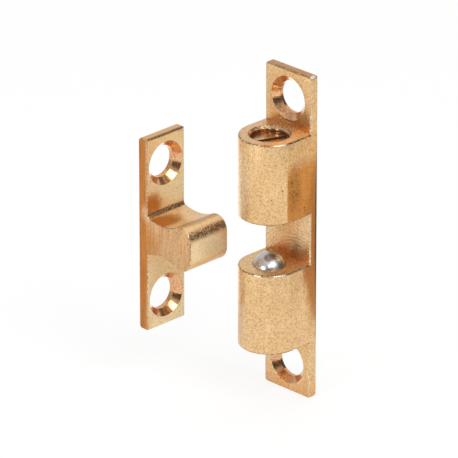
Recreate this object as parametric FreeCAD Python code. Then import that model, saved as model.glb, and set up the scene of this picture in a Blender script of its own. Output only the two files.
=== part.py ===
import math
import os

import FreeCAD
import Part

# Double ball catch for furniture doors: a catch body with two sprung balls, and the strike
# whose tongue the balls grip. Millimetres, +Z along the catch body.
# The origin is the middle of the catch body's back face. Its front looks towards -Y, and
# the strike comes in from the -X side.

# Catch body
BODY_LENGTH = 50.0
BODY_WIDTH = 9.0
BODY_PLATE = 1.4
BORE_SETBACK = 5.1
GAP_HEIGHT = 7.8
HOUSING_HEIGHT = 12.35
BODY_CORNER_RADIUS = 0.4
EDGE_BREAK = 0.15

# Countersunk holes, with their distances from the ends of each half
SCREW_HOLE_RADIUS = 2.4
COUNTERSINK_RADIUS = 3.3
COUNTERSINK_ANGLE = 90.0
BODY_HOLE_MARGIN = 4.4
STRIKE_HOLE_MARGIN = 4.55

# Ball, and the bore that it runs in
BALL_RADIUS = 2.5
BALL_CLEARANCE = 0.1
MOUTH_RADIUS = 2.42
MOUTH_LAND = 0.1
DRILL_POINT_ANGLE = 118.0

# Adjusting screw, and the tapped end of the bore
THREAD_RADIUS = 3.0
THREAD_CLEARANCE = 0.05
THREAD_DEPTH = 7.2
MOUTH_CHAMFER = 0.25
SCREW_LENGTH = 3.0
SCREW_RECESS = 0.9
SCREW_CHAMFER = 0.3
SLOT_WIDTH = 0.9
SLOT_DEPTH = 1.1
SLOT_TURN = 68.0

# Spring between the ball and the adjusting screw
WIRE_RADIUS = 0.225
WIRE_SIDES = 6
SPRING_RADIUS = 1.8
SPRING_TURNS = 4.5
CLOSED_TURNS = 0.75
CLOSED_PITCH = 0.5
SPRING_CLEARANCE = 0.02
POINTS_PER_TURN = 8

# Strike
STRIKE_LENGTH = 29.7
STRIKE_WIDTH = 7.4
STRIKE_PLATE = 1.7
STRIKE_BACK_RADIUS = 0.5
STRIKE_FRONT_RADIUS = 0.2
SAWN_EDGE_BREAK = 0.08
NECK_HALF_HEIGHT = 2.4
NECK_DISTANCE = 4.4
GROOVE_RADIUS = 7.0
ROOT_RADIUS = 0.6
CREST_HALF_HEIGHT = 3.35
NOSE_RADIUS = 2.0

# Where the strike stands: the middle of its back face
STRIKE_BACK_X = -14.57
STRIKE_MIDDLE_Y = -13.15

# Room that a cutting tool has past the face it cuts
OVERRUN = 1.0

HALF_GAP = GAP_HEIGHT / 2
HOUSING_END = HALF_GAP + HOUSING_HEIGHT
HALF_WIDTH = BODY_WIDTH / 2
BORE_RADIUS = BALL_RADIUS + BALL_CLEARANCE
SCREW_RADIUS = THREAD_RADIUS - THREAD_CLEARANCE
BALL_Z = HALF_GAP + MOUTH_LAND + math.sqrt(BALL_RADIUS**2 - MOUTH_RADIUS**2)
SCREW_TOP = HOUSING_END - SCREW_RECESS
SCREW_BOTTOM = SCREW_TOP - SCREW_LENGTH


def vector(x, y, z):
    return FreeCAD.Vector(x, y, z)


def line(start, end):
    return Part.LineSegment(start, end).toShape()


def arc(start, middle, end):
    return Part.Arc(start, middle, end).toShape()


def face_of(edges):
    return Part.Face(Part.Wire(edges))


def turned_solid(outline):
    """Solid of revolution about Z from (radius, height) corners."""
    corners = [vector(radius, 0, height) for radius, height in outline]
    corners.append(corners[0])
    profile = Part.Face(Part.makePolygon(corners))
    return profile.revolve(vector(0, 0, 0), vector(0, 0, 1), 360)


def countersunk_hole(plate):
    """Cutter for one countersunk hole: axis +Z, with the plate's back face at height 0."""
    slope = math.tan(math.radians(COUNTERSINK_ANGLE / 2))
    sink_start = plate - (COUNTERSINK_RADIUS - SCREW_HOLE_RADIUS) / slope
    return turned_solid([
        (0, -OVERRUN),
        (SCREW_HOLE_RADIUS, -OVERRUN),
        (SCREW_HOLE_RADIUS, sink_start),
        (COUNTERSINK_RADIUS, plate),
        (COUNTERSINK_RADIUS, plate + OVERRUN),
        (0, plate + OVERRUN),
    ])


def outlines(shape, direction):
    """Edges around the flat faces that look along a direction, either way."""
    faces = [
        face for face in shape.Faces
        if face.Surface.TypeId == "Part::GeomPlane"
        and abs(face.normalAt(0, 0).dot(direction)) > 0.9
    ]
    return [edge for face in faces for edge in face.OuterWire.Edges]


def turned_over(shape):
    """The same shape at the other end of the catch body."""
    return shape.rotated(vector(0, 0, 0), vector(0, 1, 0), 180)


# Catch body


def body_plate():
    """Flat plate with rounded corners and broken edges."""
    plate = Part.makeBox(
        BODY_WIDTH, BODY_PLATE, BODY_LENGTH,
        vector(-HALF_WIDTH, -BODY_PLATE, -BODY_LENGTH / 2),
    )
    corners = [
        edge for edge in plate.Edges
        if abs(edge.tangentAt(edge.FirstParameter).y) > 0.9
    ]
    plate = plate.makeFillet(BODY_CORNER_RADIUS, corners)
    return plate.makeChamfer(EDGE_BREAK, outlines(plate, vector(0, 1, 0)))


def housing():
    """Upper half-round housing, as wide as the plate and rooted in it."""
    root_y = -BODY_PLATE / 2
    left = vector(-HALF_WIDTH, -BORE_SETBACK, HALF_GAP)
    right = vector(HALF_WIDTH, -BORE_SETBACK, HALF_GAP)
    front = vector(0, -BORE_SETBACK - HALF_WIDTH, HALF_GAP)
    back_left = vector(-HALF_WIDTH, root_y, HALF_GAP)
    back_right = vector(HALF_WIDTH, root_y, HALF_GAP)
    profile = face_of([
        line(back_left, left),
        arc(left, front, right),
        line(right, back_right),
        line(back_right, back_left),
    ])
    block = profile.extrude(vector(0, 0, HOUSING_HEIGHT))
    rims = [edge for edge in outlines(block, vector(0, 0, 1)) if edge.BoundBox.YLength > 1e-6]
    return block.makeChamfer(EDGE_BREAK, rims)


def ball_bore():
    """Cutter for the upper bore: small mouth at the gap, drilled seat, tapped outer end."""
    seat_top = HALF_GAP + MOUTH_LAND
    seat_top += (BORE_RADIUS - MOUTH_RADIUS) / math.tan(math.radians(DRILL_POINT_ANGLE / 2))
    thread_start = HOUSING_END - THREAD_DEPTH
    cutter = turned_solid([
        (0, HALF_GAP - OVERRUN),
        (MOUTH_RADIUS, HALF_GAP - OVERRUN),
        (MOUTH_RADIUS, HALF_GAP + MOUTH_LAND),
        (BORE_RADIUS, seat_top),
        (BORE_RADIUS, thread_start),
        (THREAD_RADIUS, thread_start),
        (THREAD_RADIUS, HOUSING_END - MOUTH_CHAMFER),
        (THREAD_RADIUS + MOUTH_CHAMFER + OVERRUN, HOUSING_END + OVERRUN),
        (0, HOUSING_END + OVERRUN),
    ])
    cutter.translate(vector(0, -BORE_SETBACK, 0))
    return cutter


def catch_body():
    """Plate with two housings, two bores and two countersunk holes, in one piece."""
    upper = housing()
    bore = ball_bore()
    hole = countersunk_hole(BODY_PLATE).rotated(vector(0, 0, 0), vector(1, 0, 0), 90)
    hole.translate(vector(0, 0, BODY_LENGTH / 2 - BODY_HOLE_MARGIN))
    body = body_plate().fuse([upper, turned_over(upper)]).removeSplitter()
    return body.cut([bore, turned_over(bore), hole, turned_over(hole)])


# Ball, spring and adjusting screw of the upper bore


def ball():
    return Part.makeSphere(BALL_RADIUS, vector(0, -BORE_SETBACK, BALL_Z))


def spring_heights():
    """Height of the wire's middle along the spring: closed turns at both ends, open between."""
    reach = BALL_RADIUS + WIRE_RADIUS + SPRING_CLEARANCE
    bottom = BALL_Z + math.sqrt(reach**2 - SPRING_RADIUS**2)
    top = SCREW_BOTTOM - WIRE_RADIUS - SPRING_CLEARANCE
    closed = CLOSED_TURNS * CLOSED_PITCH
    steps = round(SPRING_TURNS * POINTS_PER_TURN)
    for step in range(steps + 1):
        turns = step / POINTS_PER_TURN
        left = SPRING_TURNS - turns
        if turns < CLOSED_TURNS:
            yield bottom + turns * CLOSED_PITCH
        elif left < CLOSED_TURNS:
            yield top - left * CLOSED_PITCH
        else:
            share = (turns - CLOSED_TURNS) / (SPRING_TURNS - 2 * CLOSED_TURNS)
            yield bottom + closed + share * (top - bottom - 2 * closed)


def spring():
    """Compression spring swept along its coils. Its wire has a few flats, as it is out of sight."""
    points = []
    for step, height in enumerate(spring_heights()):
        angle = 2 * math.pi * step / POINTS_PER_TURN
        points.append(vector(
            SPRING_RADIUS * math.cos(angle),
            SPRING_RADIUS * math.sin(angle) - BORE_SETBACK,
            height,
        ))
    coil = Part.BSplineCurve()
    coil.interpolate(points)
    section = []
    for side in range(WIRE_SIDES + 1):
        angle = 2 * math.pi * side / WIRE_SIDES
        across = vector(WIRE_RADIUS * math.cos(angle), 0, WIRE_RADIUS * math.sin(angle))
        section.append(points[0] + across)
    return Part.Wire(coil.toShape()).makePipeShell([Part.makePolygon(section)], True, True)


def adjusting_screw():
    """Headless screw with a slot across its outer end and chamfered rims."""
    blank = Part.makeCylinder(
        SCREW_RADIUS, SCREW_LENGTH, vector(0, -BORE_SETBACK, SCREW_BOTTOM)
    )
    rims = [edge for edge in blank.Edges if edge.BoundBox.ZLength < 1e-6]
    blank = blank.makeChamfer(SCREW_CHAMFER, rims)
    reach = SCREW_RADIUS + OVERRUN
    slot = Part.makeBox(
        2 * reach, SLOT_WIDTH, SLOT_DEPTH + OVERRUN,
        vector(-reach, -SLOT_WIDTH / 2 - BORE_SETBACK, SCREW_TOP - SLOT_DEPTH),
    )
    slot.rotate(vector(0, -BORE_SETBACK, 0), vector(0, 0, 1), SLOT_TURN)
    return blank.cut(slot)


# Strike


def strike_profile():
    """Section of the strike, drawn in X and Z with its back face at X = 0."""
    half_length = STRIKE_LENGTH / 2
    back = STRIKE_BACK_RADIUS
    front = STRIKE_FRONT_RADIUS
    groove_z = NECK_HALF_HEIGHT + GROOVE_RADIUS
    nose_z = CREST_HALF_HEIGHT - NOSE_RADIUS
    nose_x = NECK_DISTANCE + math.sqrt((GROOVE_RADIUS + NOSE_RADIUS)**2 - (groove_z - nose_z)**2)
    root_x = STRIKE_PLATE + ROOT_RADIUS
    root_z = groove_z - math.sqrt((GROOVE_RADIUS - ROOT_RADIUS)**2 - (NECK_DISTANCE - root_x)**2)
    groove_start = math.atan2(root_z - groove_z, root_x - NECK_DISTANCE)
    groove_end = math.atan2(nose_z - groove_z, nose_x - NECK_DISTANCE)
    nose_start = groove_end + math.pi

    def rounded(x, z, radius, first, last):
        """Arc about (x, z) between two angles in radians."""
        at = [
            vector(x + radius * math.cos(angle), 0, z + radius * math.sin(angle))
            for angle in (first, (first + last) / 2, last)
        ]
        return arc(*at)

    quarter = math.pi / 2
    upper = [
        rounded(back, half_length - back, back, 2 * quarter, quarter),
        rounded(STRIKE_PLATE - front, half_length - front, front, quarter, 0),
        rounded(root_x, root_z, ROOT_RADIUS, -2 * quarter, groove_start),
        rounded(NECK_DISTANCE, groove_z, GROOVE_RADIUS, groove_start, groove_end),
        rounded(nose_x, nose_z, NOSE_RADIUS, nose_start, 0),
    ]
    lower = [edge.mirror(vector(0, 0, 0), vector(0, 0, 1)).Edges[0] for edge in reversed(upper)]
    curves = upper + lower
    edges = []
    for index, curve in enumerate(curves):
        edges.append(curve)
        edges.append(bridge(curve, curves[(index + 1) % len(curves)]))
    return face_of([edge for edge in edges if edge])


def bridge(first, second):
    """Straight edge between the nearest ends of two curves, or nothing where they meet."""
    pairs = [(a.Point, b.Point) for a in first.Vertexes for b in second.Vertexes]
    start, end = min(pairs, key=lambda pair: pair[0].distanceToPoint(pair[1]))
    return line(start, end) if start.distanceToPoint(end) > 1e-6 else None


def strike():
    """Plate and tongue cut from one section, with two countersunk holes."""
    block = strike_profile().extrude(vector(0, STRIKE_WIDTH, 0))
    block.translate(vector(0, -STRIKE_WIDTH / 2, 0))
    block = block.makeChamfer(SAWN_EDGE_BREAK, outlines(block, vector(0, 1, 0)))
    hole = countersunk_hole(STRIKE_PLATE).rotated(vector(0, 0, 0), vector(0, 1, 0), 90)
    reach = STRIKE_LENGTH / 2 - STRIKE_HOLE_MARGIN
    for side in (-1, 1):
        block = block.cut(hole.translated(vector(0, 0, side * reach)))
    return block.translated(vector(STRIKE_BACK_X, STRIKE_MIDDLE_Y, 0))


def main():
    os.makedirs("parts", exist_ok=True)
    parts = {
        "catch_body": catch_body(),
        "upper_ball": ball(),
        "upper_spring": spring(),
        "upper_adjusting_screw": adjusting_screw(),
        "strike": strike(),
    }
    for name in ("ball", "spring", "adjusting_screw"):
        parts["lower_" + name] = turned_over(parts["upper_" + name])
    for name, shape in parts.items():
        shape.exportStep("parts/" + name + ".step")


main()
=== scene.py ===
"""Looks of a double ball catch: its brass body with two sprung balls, and its strike.

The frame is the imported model's: +Z along the catch body, its back face on Y = 0, its front
towards -Y, and the strike on the -X side. Sizes are written in millimetres and modelled in
metres.
"""

import logging
import math
from collections.abc import Callable, Iterable, Sequence
from dataclasses import dataclass, replace
from enum import Enum
from functools import cache

import bmesh
import bpy
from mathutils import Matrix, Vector


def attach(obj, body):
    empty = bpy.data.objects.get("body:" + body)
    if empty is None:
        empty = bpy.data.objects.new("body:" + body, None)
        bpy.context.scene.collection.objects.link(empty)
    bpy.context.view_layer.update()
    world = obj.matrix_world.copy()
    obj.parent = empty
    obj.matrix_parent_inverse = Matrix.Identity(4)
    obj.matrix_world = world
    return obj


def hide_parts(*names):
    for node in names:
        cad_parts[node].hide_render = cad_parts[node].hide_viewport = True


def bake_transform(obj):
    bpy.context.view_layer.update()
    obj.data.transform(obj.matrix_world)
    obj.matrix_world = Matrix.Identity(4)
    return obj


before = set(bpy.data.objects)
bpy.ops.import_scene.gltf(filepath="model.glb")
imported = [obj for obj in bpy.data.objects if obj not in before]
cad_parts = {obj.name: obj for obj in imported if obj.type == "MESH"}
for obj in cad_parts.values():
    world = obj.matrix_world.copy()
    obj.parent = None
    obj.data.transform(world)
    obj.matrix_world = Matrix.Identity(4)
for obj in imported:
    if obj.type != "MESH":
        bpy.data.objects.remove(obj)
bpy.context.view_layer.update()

LOG = logging.getLogger("double_ball_catch")
MM = 0.001
FULL_TURN = 2 * math.pi
# Two places are one when they are this close, and a face is at a place that is this near, both
# in millimetres. A cutter reaches the overrun past its work.
CLOSE = 0.001
NEAR = 0.01
OVERRUN = 1.0
# Share of a face's normal along an axis: of a broken edge, a flat end and a flat side. Edges
# that turn more than SHARP, in radians, are broken.
LEANING = (0.15, 0.97)
FLAT = 0.9
UPRIGHT = 0.985
SHARP = 0.5

Socket = bpy.types.NodeSocket
Amount = Socket | float | Sequence[float]
Triple = tuple[float, float, float]


def mm(x: float, y: float, z: float) -> Vector:
    """Return a point given in millimetres as one in metres."""
    return Vector((x, y, z)) * MM


def span(edge: bmesh.types.BMEdge, axis: int) -> float:
    """Return how far an edge reaches along an axis, in millimetres."""
    first, second = edge.verts
    return abs(first.co[axis] - second.co[axis]) / MM


class Element(Enum):
    """What is picked in edit mode."""

    POINT = "VERT"
    EDGE = "EDGE"
    FACE = "FACE"


class Combine(Enum):
    """How one solid acts on another."""

    ADD = "UNION"
    CUT = "DIFFERENCE"
    KEEP_SHARED = "INTERSECT"


class Axis(Enum):
    """Directions that a tool turns about or points along."""

    X = (1.0, 0.0, 0.0)
    BACK_TO_FRONT = (0.0, -1.0, 0.0)
    Z = (0.0, 0.0, 1.0)


class Facet:
    """A face of a piece: its middle, in millimetres, and the way that it looks."""

    def __init__(self, polygon: bpy.types.MeshPolygon) -> None:
        """Measure a face, with its height above or below the middle of the catch."""
        self.x, self.y, self.z = polygon.center / MM
        self.height, self.normal = abs(self.z), polygon.normal

    def leans(self, axis: int) -> bool:
        """Say whether it slants against an axis, as a broken edge does."""
        return LEANING[0] < abs(self.normal[axis]) < LEANING[1]

    def looks_along(self, axis: int) -> bool:
        """Say whether it looks along an axis."""
        return abs(self.normal[axis]) > FLAT


class Workpiece:
    """One mesh on the bench, which stays at the origin with its place in its mesh."""

    def __init__(self, name: str) -> None:
        """Take the object that was added last.

        Args:
            name: The piece's name.
        """
        self.shape = bpy.context.active_object
        self.shape.name = name
        self.shape.data.name = name
        bpy.ops.object.transform_apply(location=True, rotation=True, scale=True)

    @staticmethod
    def clear_bench() -> None:
        """Leave edit mode with nothing selected."""
        if bpy.context.mode != "OBJECT":
            bpy.ops.object.mode_set(mode="OBJECT")
        bpy.ops.object.select_all(action="DESELECT")

    @classmethod
    def block(cls, name: str, low: Vector, high: Vector, turn: float = 0.0) -> "Workpiece":
        """Add a rectangular block.

        Args:
            name: The piece's name.
            low: Its lowest corner before it is turned.
            high: Its highest corner before it is turned.
            turn: Angle about Z through its own middle, in radians.

        Returns:
            The new piece.
        """
        cls.clear_bench()
        bpy.ops.mesh.primitive_cube_add(
            size=1, location=(low + high) / 2, rotation=(0, 0, turn), scale=high - low
        )
        return cls(name)

    @classmethod
    def rod(cls, name: str, radius: float, foot: Vector, length: float, sides: int) -> "Workpiece":
        """Add a round rod that stands along Z.

        Args:
            name: The piece's name.
            radius: Its radius, in millimetres.
            foot: Middle of its lower end.
            length: Its length, in millimetres.
            sides: Faces round it.

        Returns:
            The new piece.
        """
        cls.clear_bench()
        bpy.ops.mesh.primitive_cylinder_add(
            vertices=sides,
            radius=radius * MM,
            depth=length * MM,
            location=foot + mm(0, 0, length / 2),
        )
        return cls(name)

    @classmethod
    def drawn(cls, name: str, points: Sequence[Vector], filled: bool = False) -> "Workpiece":
        """Draw a line through points by extruding one vertex.

        Args:
            name: The piece's name.
            points: The points in order.
            filled: Whether the line is closed with a face.

        Returns:
            The new piece.
        """
        cls.clear_bench()
        bpy.ops.mesh.primitive_plane_add(size=MM, location=(0, 0, 0))
        piece = cls(name)
        piece.pick(Element.POINT)
        bpy.ops.mesh.merge(type="CENTER")
        bpy.ops.transform.translate(value=points[0])
        for start, end in zip(points, points[1:]):
            bpy.ops.mesh.extrude_vertices_move(TRANSFORM_OT_translate={"value": end - start})
        if filled:
            piece.pick(Element.POINT)
            bpy.ops.mesh.edge_face_add()
        piece.put_down()
        return piece

    @classmethod
    def turned(
        cls, name: str, profile: Sequence[tuple], centre: Vector, axis: Axis, steps: int = 96
    ) -> "Workpiece":
        """Turn a solid from a profile that starts and ends on its axis.

        Args:
            name: The piece's name.
            profile: Radius and height of each corner, in millimetres.
            centre: Where the axis has height 0.
            axis: Direction that the heights run along.
            steps: Faces round the axis.

        Returns:
            The new piece.
        """
        along = Vector(axis.value)
        across = Vector((0, 1, 0)) if axis is Axis.X else Vector((1, 0, 0))
        points = [centre + (across * radius + along * height) * MM for radius, height in profile]
        piece = cls.drawn(name, points)
        piece.pick(Element.POINT)
        bpy.ops.mesh.spin(steps=steps, angle=FULL_TURN, center=centre, axis=along)
        piece.mend()
        return piece

    def hold(self) -> None:
        """Make this the one selected and active object."""
        self.clear_bench()
        self.shape.select_set(True)
        bpy.context.view_layer.objects.active = self.shape

    def put_down(self) -> None:
        """Leave edit mode."""
        bpy.ops.object.mode_set(mode="OBJECT")

    def pick(self, kind: Element, wanted: Callable[..., bool] = lambda element: True) -> None:
        """Select elements in edit mode, and nothing else.

        Args:
            kind: What is selected.
            wanted: Says whether an element is selected.
        """
        self.hold()
        bpy.ops.object.mode_set(mode="EDIT")
        bpy.ops.mesh.select_mode(type=kind.value)
        bpy.ops.mesh.select_all(action="DESELECT")
        mesh = bmesh.from_edit_mesh(self.shape.data)
        elements = {Element.POINT: mesh.verts, Element.EDGE: mesh.edges, Element.FACE: mesh.faces}
        for element in filter(wanted, elements[kind]):
            element.select_set(True)
        mesh.select_flush_mode()
        bmesh.update_edit_mesh(self.shape.data)

    def move(self, by: Vector) -> None:
        """Move the whole mesh, and leave edit mode."""
        self.pick(Element.POINT)
        bpy.ops.transform.translate(value=by)
        self.put_down()

    def bevel(self, wanted: Callable[..., bool], width: float, segments: int) -> None:
        """Round the edges that are wanted.

        Args:
            wanted: Says whether an edge is rounded.
            width: Setback of the rounding, in millimetres.
            segments: Faces across it.
        """
        self.pick(Element.EDGE, wanted)
        bpy.ops.mesh.bevel(offset=width * MM, segments=segments, profile=0.5, affect="EDGES")
        self.put_down()

    def apply(self, modifier: bpy.types.Modifier) -> None:
        """Apply a modifier of this piece."""
        self.hold()
        bpy.ops.object.modifier_apply(modifier=modifier.name)

    def combine(self, tool: "Workpiece", how: Combine) -> None:
        """Add, cut or intersect with another piece, which is used up.

        Args:
            tool: The other piece.
            how: What it does to this one.
        """
        change = self.shape.modifiers.new("combine", "BOOLEAN")
        change.operation = how.value
        change.solver = "EXACT"
        change.object = tool.shape
        self.apply(change)
        bpy.data.objects.remove(tool.shape)

    def mend(self) -> None:
        """Merge doubles and turn all faces outwards."""
        self.pick(Element.POINT)
        bpy.ops.mesh.remove_doubles(threshold=0.1 * CLOSE * MM)
        bpy.ops.mesh.normals_make_consistent(inside=False)
        self.put_down()

    def turned_over(self) -> "Workpiece":
        """Return a copy of an upper piece for the lower end, half a turn about Y."""
        name = self.shape.name.replace("upper", "lower")
        self.hold()
        bpy.ops.object.duplicate()
        bpy.ops.transform.rotate(value=math.pi, orient_axis="Y", center_override=(0, 0, 0))
        return Workpiece(name)

    def smooth(self, angle: float = 30.0) -> None:
        """Shade the piece smooth, up to an angle in degrees."""
        self.hold()
        bpy.ops.object.shade_smooth_by_angle(angle=math.radians(angle))

    def dress(
        self, finish: bpy.types.Material, wanted: Callable[[Facet], bool] = lambda face: True
    ) -> None:
        """Give faces a material.

        Args:
            finish: The material.
            wanted: Says whether a face gets it.
        """
        mesh = self.shape.data
        if mesh.materials.find(finish.name) < 0:
            mesh.materials.append(finish)
        slot = mesh.materials.find(finish.name)
        for polygon in mesh.polygons:
            if wanted(Facet(polygon)):
                polygon.material_index = slot

    def stand_for(self, node: str, slot: str) -> None:
        """Hide the CAD node that the piece replaces, and log how many faces the piece has.

        Args:
            node: The CAD node.
            slot: Not used.
        """
        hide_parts(node)
        LOG.info("%s: %d faces", self.shape.name, len(self.shape.data.polygons))

    def mount(self, body: str, slot: str) -> None:
        """Let the piece ride on the body whose node it replaces."""
        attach(self.shape, body)
        self.stand_for(body, slot)


class Graph:
    """A node tree that nodes are added to and wired up in."""

    def __init__(self, tree: bpy.types.NodeTree) -> None:
        """Work on a node tree."""
        self.tree = tree

    @classmethod
    def emptied(cls, owner: bpy.types.Material | bpy.types.World) -> "Graph":
        """Clear the nodes of a material or of the world.

        Args:
            owner: The material or the world.

        Returns:
            Its empty graph.
        """
        owner.use_nodes = True
        owner.node_tree.nodes.clear()
        return cls(owner.node_tree)

    def add(
        self, kind: str, inputs: dict[str | int, Amount] | None = None, **settings: object
    ) -> bpy.types.Node:
        """Add a node.

        Args:
            kind: Its type without the leading ShaderNode.
            inputs: A value or an output for each of its inputs, by name or number.
            settings: Its other settings.

        Returns:
            The node.
        """
        node = self.tree.nodes.new("ShaderNode" + kind)
        for name, value in settings.items():
            setattr(node, name, value)
        for key, value in (inputs or {}).items():
            self.feed(node.inputs[key], value)
        return node

    def feed(self, socket: Socket, value: Amount) -> None:
        """Link an output to a socket, or set the socket's own value.

        Args:
            socket: The socket.
            value: An output, a number, a vector, or a colour without its alpha.
        """
        if isinstance(value, Socket):
            self.tree.links.new(value, socket)
        else:
            socket.default_value = (*value, 1.0) if socket.type == "RGBA" else value

    def math(self, how: str, *values: Amount) -> Socket:
        """Return the result of one Math node."""
        return self.add("Math", dict(enumerate(values)), operation=how).outputs[0]

    def times(self, first: Amount, second: Amount) -> Socket:
        """Return the product of two values."""
        return self.math("MULTIPLY", first, second)

    def sum_of(self, value: Amount, factor: Amount, rest: Amount) -> Socket:
        """Return a value times a factor, plus a rest."""
        return self.math("MULTIPLY_ADD", value, factor, rest)

    def vector(self, how: str, *values: Amount) -> Socket:
        """Return what one Vector Math node gives."""
        node = self.add("VectorMath", dict(enumerate(values)), operation=how)
        return node.outputs[1 if how in ("DOT_PRODUCT", "LENGTH") else 0]

    def scaled(
        self, value: Amount, low: Amount, high: Amount, to_low: float = 0.0, to_high: float = 1.0
    ) -> Socket:
        """Return a value moved smoothly from one range to another.

        Args:
            value: The value.
            low: Where the old range starts.
            high: Where it ends.
            to_low: What the start becomes.
            to_high: What the end becomes.

        Returns:
            The new value, held inside its range.
        """
        inputs = {"Value": value, 1: low, 2: high, 3: to_low, 4: to_high}
        return self.add("MapRange", inputs, interpolation_type="SMOOTHSTEP").outputs[0]

    def blend(self, share: Amount, first: Amount, second: Amount) -> Socket:
        """Return a mix of two colours."""
        node = self.add("Mix", {0: share, 6: first, 7: second}, data_type="RGBA")
        return node.outputs[2]

    def noise(
        self, at: Amount, scale: Amount, detail: float = 2.0, roughness: float = 0.5
    ) -> Socket:
        """Return the value of a noise texture."""
        inputs = {"Vector": at, "Scale": scale, "Detail": detail, "Roughness": roughness}
        return self.add("TexNoise", inputs).outputs[0]

    def place(self) -> Socket:
        """Return the piece's own coordinates, in metres."""
        return self.add("TexCoord").outputs["Object"]

    def metal(self, relief: dict[str, Amount], **look: Amount) -> None:
        """Finish a material with a bumped metal shader.

        Args:
            relief: What its bump gets.
            look: What its shader gets, with _ for a space in a socket's name.
        """
        inputs = {name.replace("_", " "): value for name, value in look.items()}
        inputs["Normal"] = self.add("Bump", relief).outputs[0]
        shader = self.add("BsdfPrincipled", inputs)
        self.add("OutputMaterial", {"Surface": shader.outputs[0]})


class Effect(Graph):
    """A surface effect that several finishes share, built once as a node group."""

    takes: dict[str, float] = {}

    def __init__(self) -> None:
        """Make the group: its inputs, its nodes and its outputs."""
        super().__init__(bpy.data.node_groups.new(type(self).__name__, "ShaderNodeTree"))
        face = self.tree.interface
        face.new_socket(name="Place", in_out="INPUT", socket_type="NodeSocketVector")
        for name, value in self.takes.items():
            socket = face.new_socket(name=name, in_out="INPUT", socket_type="NodeSocketFloat")
            socket.default_value = value
        inward = self.tree.nodes.new("NodeGroupInput")
        self.given = {socket.name: socket for socket in inward.outputs if socket.name}
        self.at = self.given["Place"]
        given_out = self.wire()
        for name, socket in given_out.items():
            kind = "NodeSocketVector" if socket.type == "VECTOR" else "NodeSocketFloat"
            face.new_socket(name=name, in_out="OUTPUT", socket_type=kind)
        outward = self.tree.nodes.new("NodeGroupOutput")
        for name, socket in given_out.items():
            self.feed(outward.inputs[name], socket)

    def wire(self) -> dict[str, Socket]:
        """Make the effect's nodes and return what each of the group's outputs gets."""
        raise NotImplementedError

    def density(self, size: str) -> Socket:
        """Return how often a size that was given in millimetres fits into a metre."""
        return self.math("DIVIDE", 1.0 / MM, self.given[size])

    @classmethod
    def put(cls, graph: Graph, at: Amount, **amounts: Amount) -> bpy.types.bpy_prop_collection:
        """Place the effect in a material.

        Args:
            graph: The material's node tree.
            at: Coordinates that it reads.
            amounts: Its inputs by name.

        Returns:
            What it puts out, by name.
        """
        if cls.__name__ not in bpy.data.node_groups:
            cls()
        tree = bpy.data.node_groups[cls.__name__]
        return graph.add("Group", {"Place": at, **amounts}, node_tree=tree).outputs


class TumbledGrain(Effect):
    """Fine uneven skin of metal that was tumbled with other pieces."""

    takes = {"Size": 0.27}

    def wire(self) -> dict[str, Socket]:
        """Mix a fine and a coarse noise, and give the coarse and a speckled one by themselves."""
        density = self.density("Size")
        fine = self.noise(self.at, density, 3.0, 0.6)
        coarse = self.noise(self.at, self.times(density, 0.23), 3.0, 0.55)
        height = self.sum_of(fine, 0.65, self.times(coarse, 0.35))
        return {"Height": height, "Cloud": coarse, "Mottle": self.scaled(fine, 0.42, 0.63)}


class Pits(Effect):
    """Scattered dark specks and pinholes."""

    takes = {"Spacing": 0.8, "Share": 0.3, "Width": 0.12}

    def wire(self) -> dict[str, Socket]:
        """Keep a spot in some of the cells, each of its own width."""
        cells = self.add("TexVoronoi", {"Vector": self.at, "Scale": self.density("Spacing")})
        tone = self.add("SeparateColor", {"Color": cells.outputs["Color"]})
        kept = self.math("LESS_THAN", tone.outputs[0], self.given["Share"])
        width = self.math("DIVIDE", self.given["Width"], self.given["Spacing"])
        radius = self.math("ADD", self.times(width, tone.outputs[1]), 0.01)
        ratio = self.math("DIVIDE", cells.outputs["Distance"], radius)
        return {"Pit": self.times(self.scaled(ratio, 0.6, 1.2, 1.0, 0.0), kept)}


class Scratches(Effect):
    """Sparse hairline scratches that lie in two slanting directions."""

    takes = {"Length": 4.0, "Share": 0.3}

    def wire(self) -> dict[str, Socket]:
        """Take thin level lines of stretched noise, where a coarse noise allows them."""
        lines = []
        density = self.density("Length")
        for turn, seed in ((0.5, 3.1), (-0.9, 7.7)):
            rotation = (turn, turn * 0.6, turn)
            inputs = {"Vector": self.at, "Location": (seed, seed, seed), "Rotation": rotation}
            turned = self.add("Mapping", inputs).outputs[0]
            level = self.noise(self.vector("MULTIPLY", turned, (14.0, 14.0, 1.0)), density, 1.0)
            off = self.math("ABSOLUTE", self.math("SUBTRACT", level, 0.5))
            line = self.scaled(off, 0.002, 0.008, 1.0, 0.0)
            spread = self.noise(turned, self.times(density, 1.7), 0.0)
            gate = self.math("SUBTRACT", spread, self.math("SUBTRACT", 0.9, self.given["Share"]))
            lines.append(self.times(line, self.scaled(gate, 0.0, 0.06)))
        return {"Line": self.math("MAXIMUM", *lines)}


class RingMarks(Effect):
    """Rings that a cutter leaves round its axis, which is the Z of the coordinates."""

    takes = {"Spacing": 0.2}

    def wire(self) -> dict[str, Socket]:
        """Run uneven waves outwards from the axis."""
        radius = self.vector("LENGTH", self.vector("MULTIPLY", self.at, (1.0, 1.0, 0.0)))
        shift = self.times(self.noise(self.at, 900.0), 0.3)
        waves = self.math("DIVIDE", radius, self.times(self.given["Spacing"], MM))
        phase = self.times(self.math("ADD", waves, shift), FULL_TURN)
        wave = self.sum_of(self.math("SINE", phase), 0.5, 0.5)
        return {"Height": self.times(wave, self.noise(radius, 2600.0))}


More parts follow.
